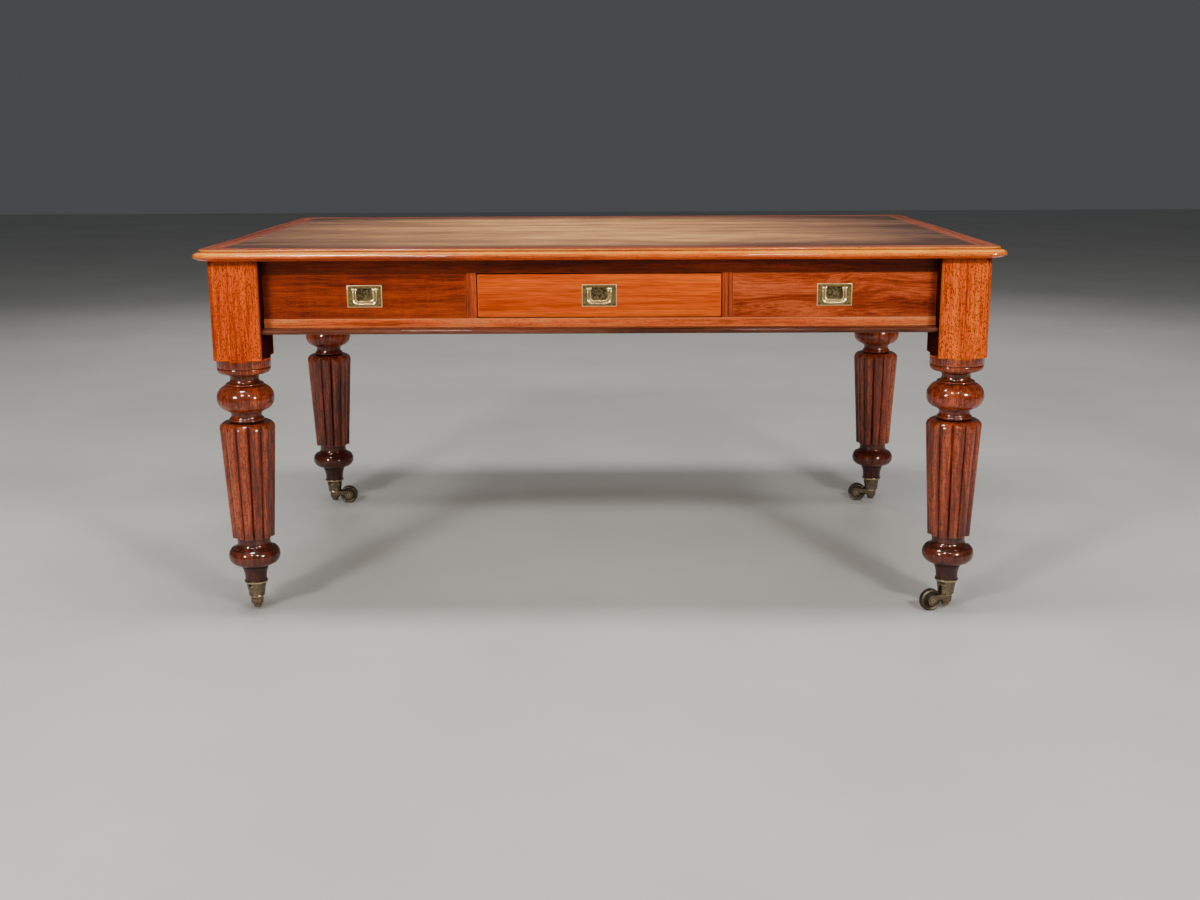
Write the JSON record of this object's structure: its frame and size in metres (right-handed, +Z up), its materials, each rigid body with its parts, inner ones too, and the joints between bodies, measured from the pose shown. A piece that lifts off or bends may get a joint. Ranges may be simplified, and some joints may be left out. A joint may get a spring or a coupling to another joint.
{
  "type": "partners desk",
  "caption": "Mahogany partners writing table with leather-lined top, frieze drawers on both long sides, flush brass bail handles, reeded turned legs and brass cup castors.",
  "frame": {"origin": "on the floor under the middle of the top", "axes": "+X along the length, +Y from the pictured front to the back, +Z up"},
  "size_m": [1.604, 1.06, 0.76],
  "materials": {
    "mahogany_border": "french polished orange mahogany with worn edges",
    "mahogany_legs": "french polished red mahogany",
    "mahogany_frieze": "french polished red mahogany",
    "mahogany_flank_drawer": "french polished figured mahogany",
    "mahogany_centre_drawer": "french polished straight grained mahogany",
    "oak_drawer": "bare planed oak",
    "oak_carcass": "bare sawn oak",
    "tan_leather": "glazed antiqued hide",
    "aged_brass": "aged cast brass",
    "polished_brass": "hand worn brass",
    "castor_brass": "dull dark brass"
  },
  "bodies": {
    "desk": {"top_panel": "oak_carcass", "top_border": "mahogany_border", "leather_writing_surface": "tan_leather", "leg_front_left": "mahogany_legs", "leg_front_right": "mahogany_legs", "leg_back_left": "mahogany_legs", "leg_back_right": "mahogany_legs", "top_rail_front": "mahogany_frieze", "top_rail_back": "mahogany_frieze", "bottom_rail_front": "mahogany_frieze", "bottom_rail_back": "mahogany_frieze", "end_apron_left": "mahogany_frieze", "end_apron_right": "mahogany_frieze", "frieze_moulding": "mahogany_frieze", "drawer_dividers": "mahogany_frieze", "drawer_runners": "oak_carcass", "drawer_guides": "oak_carcass", "drawer_kickers": "oak_carcass", "drawer_stops": "oak_carcass", "centre_partition": "oak_carcass", "castor_cups": "aged_brass", "cup_screws": "aged_brass"},
    "drawer_front_left": {"drawer_front_front_left": "mahogany_flank_drawer", "drawer_box_front_left": "oak_drawer", "handle_plate_front_left": "aged_brass"},
    "bail_front_left": {"bail_handle_front_left": "polished_brass"},
    "drawer_front_centre": {"drawer_front_front_centre": "mahogany_centre_drawer", "drawer_box_front_centre": "oak_drawer", "handle_plate_front_centre": "aged_brass"},
    "bail_front_centre": {"bail_handle_front_centre": "polished_brass"},
    "drawer_front_right": {"drawer_front_front_right": "mahogany_flank_drawer", "drawer_box_front_right": "oak_drawer", "handle_plate_front_right": "aged_brass"},
    "bail_front_right": {"bail_handle_front_right": "polished_brass"},
    "drawer_back_left": {"drawer_front_back_left": "mahogany_flank_drawer", "drawer_box_back_left": "oak_drawer", "handle_plate_back_left": "aged_brass"},
    "bail_back_left": {"bail_handle_back_left": "polished_brass"},
    "drawer_back_centre": {"drawer_front_back_centre": "mahogany_centre_drawer", "drawer_box_back_centre": "oak_drawer", "handle_plate_back_centre": "aged_brass"},
    "bail_back_centre": {"bail_handle_back_centre": "polished_brass"},
    "drawer_back_right": {"drawer_front_back_right": "mahogany_flank_drawer", "drawer_box_back_right": "oak_drawer", "handle_plate_back_right": "aged_brass"},
    "bail_back_right": {"bail_handle_back_right": "polished_brass"},
    "castor_front_left": {"castor_horn_front_left": "castor_brass", "castor_axle_front_left": "castor_brass"},
    "castor_roller_front_left": {"castor_wheel_front_left": "castor_brass"},
    "castor_front_right": {"castor_horn_front_right": "castor_brass", "castor_axle_front_right": "castor_brass"},
    "castor_roller_front_right": {"castor_wheel_front_right": "castor_brass"},
    "castor_back_left": {"castor_horn_back_left": "castor_brass", "castor_axle_back_left": "castor_brass"},
    "castor_roller_back_left": {"castor_wheel_back_left": "castor_brass"},
    "castor_back_right": {"castor_horn_back_right": "castor_brass", "castor_axle_back_right": "castor_brass"},
    "castor_roller_back_right": {"castor_wheel_back_right": "castor_brass"}
  },
  "joints": [
    {"name": "drawer_front_left_slide", "type": "slide", "parent": "desk", "child": "drawer_front_left", "axis": [0, -1, 0], "range_m": [0, 0.33]},
    {"name": "bail_front_left_swing", "type": "hinge", "parent": "drawer_front_left", "child": "bail_front_left", "pos_m": [-0.4695, -0.4648, 0.6759], "axis": [-1, 0, 0], "range_deg": [0, 90]},
    {"name": "drawer_front_centre_slide", "type": "slide", "parent": "desk", "child": "drawer_front_centre", "axis": [0, -1, 0], "range_m": [0, 0.33]},
    {"name": "bail_front_centre_swing", "type": "hinge", "parent": "drawer_front_centre", "child": "bail_front_centre", "pos_m": [0, -0.4648, 0.6759], "axis": [-1, 0, 0], "range_deg": [0, 90]},
    {"name": "drawer_front_right_slide", "type": "slide", "parent": "desk", "child": "drawer_front_right", "axis": [0, -1, 0], "range_m": [0, 0.33]},
    {"name": "bail_front_right_swing", "type": "hinge", "parent": "drawer_front_right", "child": "bail_front_right", "pos_m": [0.4695, -0.4648, 0.6759], "axis": [-1, 0, 0], "range_deg": [0, 90]},
    {"name": "drawer_back_left_slide", "type": "slide", "parent": "desk", "child": "drawer_back_left", "axis": [0, 1, 0], "range_m": [0, 0.33]},
    {"name": "bail_back_left_swing", "type": "hinge", "parent": "drawer_back_left", "child": "bail_back_left", "pos_m": [-0.4695, 0.4648, 0.6759], "axis": [1, 0, 0], "range_deg": [0, 90]},
    {"name": "drawer_back_centre_slide", "type": "slide", "parent": "desk", "child": "drawer_back_centre", "axis": [0, 1, 0], "range_m": [0, 0.33]},
    {"name": "bail_back_centre_swing", "type": "hinge", "parent": "drawer_back_centre", "child": "bail_back_centre", "pos_m": [0, 0.4648, 0.6759], "axis": [1, 0, 0], "range_deg": [0, 90]},
    {"name": "drawer_back_right_slide", "type": "slide", "parent": "desk", "child": "drawer_back_right", "axis": [0, 1, 0], "range_m": [0, 0.33]},
    {"name": "bail_back_right_swing", "type": "hinge", "parent": "drawer_back_right", "child": "bail_back_right", "pos_m": [0.4695, 0.4648, 0.6759], "axis": [1, 0, 0], "range_deg": [0, 90]},
    {"name": "castor_front_left_swivel", "type": "hinge", "parent": "desk", "child": "castor_front_left", "pos_m": [-0.72375, -0.449, 0.034], "axis": [0, 0, 1], "continuous": true},
    {"name": "castor_front_left_roll", "type": "hinge", "parent": "castor_front_left", "child": "castor_roller_front_left", "pos_m": [-0.73285, -0.41252, 0.023], "axis": [-0.9703, -0.2419, 0], "continuous": true},
    {"name": "castor_front_right_swivel", "type": "hinge", "parent": "desk", "child": "castor_front_right", "pos_m": [0.72375, -0.449, 0.034], "axis": [0, 0, 1], "continuous": true},
    {"name": "castor_front_right_roll", "type": "hinge", "parent": "castor_front_right", "child": "castor_roller_front_right", "pos_m": [0.68842, -0.46186, 0.023], "axis": [0.342, -0.9397, 0], "continuous": true},
    {"name": "castor_back_left_swivel", "type": "hinge", "parent": "desk", "child": "castor_back_left", "pos_m": [-0.72375, 0.449, 0.034], "axis": [0, 0, 1], "continuous": true},
    {"name": "castor_back_left_roll", "type": "hinge", "parent": "castor_back_left", "child": "castor_roller_back_left", "pos_m": [-0.68617, 0.45031, 0.023], "axis": [-0.0349, 0.9994, 0], "continuous": true},
    {"name": "castor_back_right_swivel", "type": "hinge", "parent": "desk", "child": "castor_back_right", "pos_m": [0.72375, 0.449, 0.034], "axis": [0, 0, 1], "continuous": true},
    {"name": "castor_back_right_roll", "type": "hinge", "parent": "castor_back_right", "child": "castor_roller_back_right", "pos_m": [0.68842, 0.46186, 0.023], "axis": [-0.342, -0.9397, 0], "continuous": true}
  ]
}
